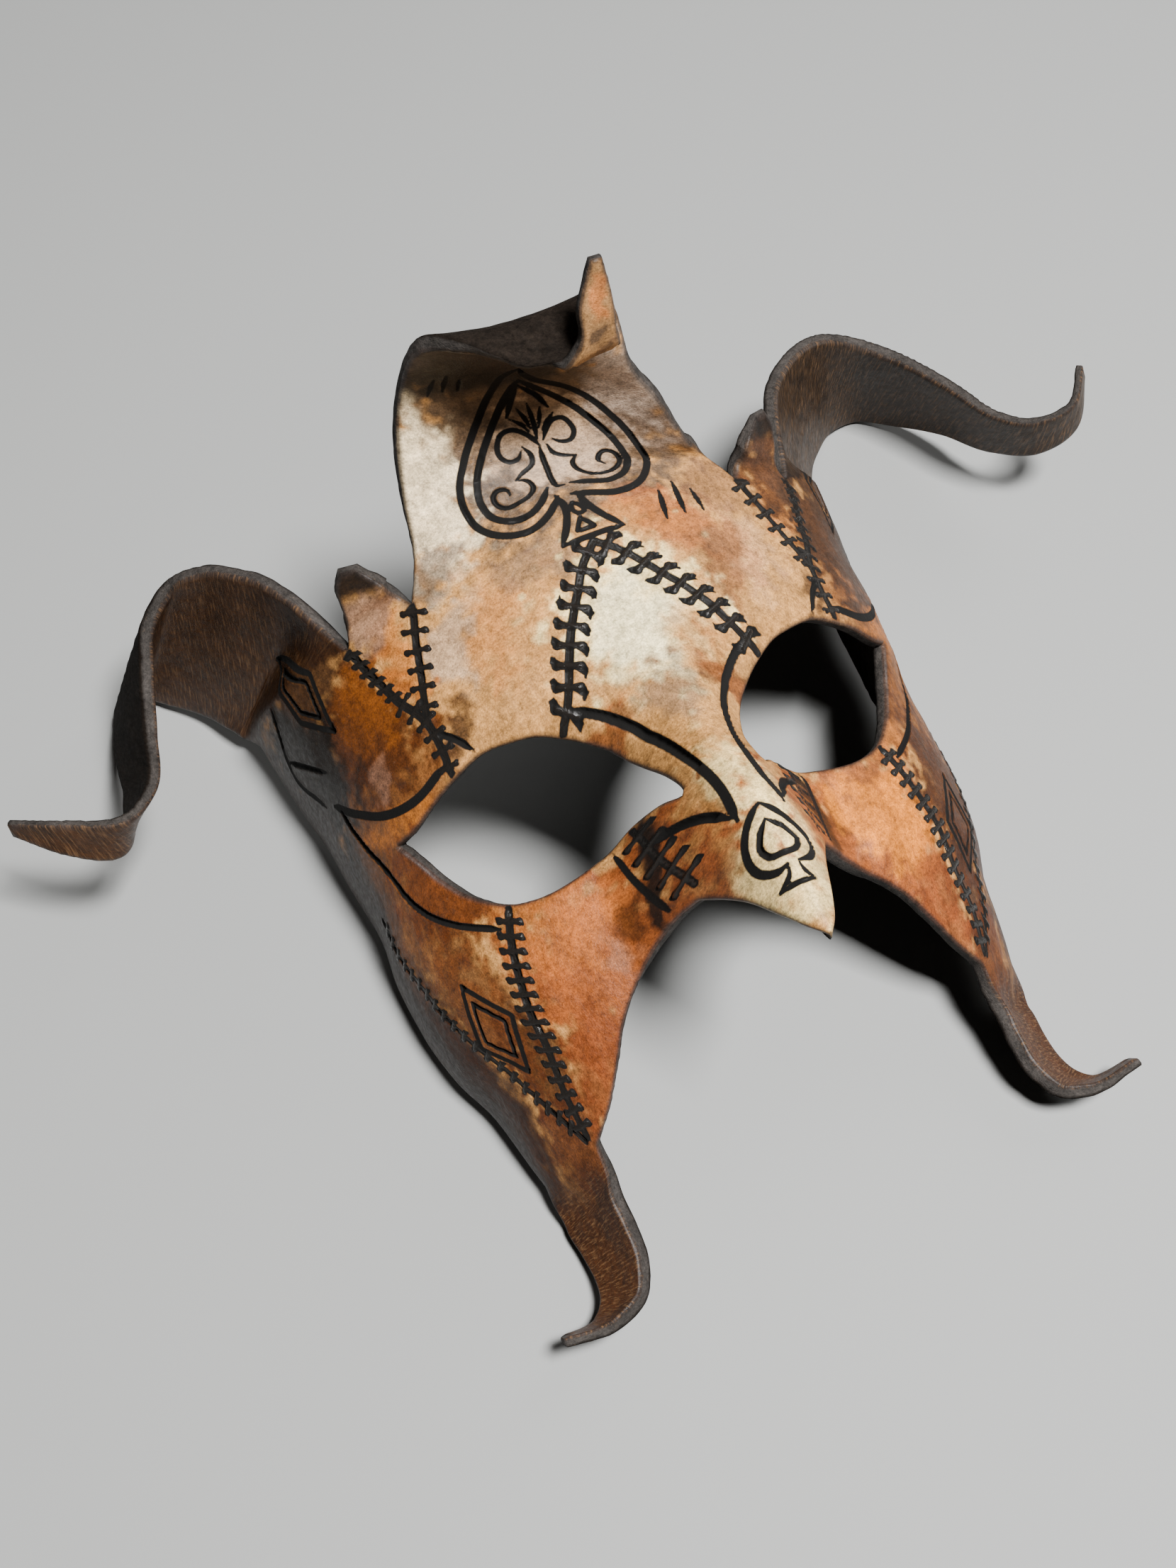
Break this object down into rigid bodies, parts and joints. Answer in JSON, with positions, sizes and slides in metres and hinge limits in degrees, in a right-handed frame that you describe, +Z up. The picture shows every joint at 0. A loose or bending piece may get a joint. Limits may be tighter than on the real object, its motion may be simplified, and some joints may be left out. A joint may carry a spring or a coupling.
{
  "type": "jester mask",
  "caption": "Leather jester half mask with a rolled hat peak, two ears, two curling horns, eye holes and two cheek tails.",
  "frame": {"origin": "centre of the mask's outline at the level of the surface it lies on", "axes": "+Z up out of the mask's face, +Y towards the hat peak, +X towards the mask's right-hand side as a viewer sees it"},
  "size_m": [0.2488, 0.172, 0.1239],
  "materials": {
    "leather": "antiqued, waxed vegetable-tanned leather, black cut edges"
  },
  "bodies": {
    "root": {"mask": "leather"}
  },
  "joints": []
}
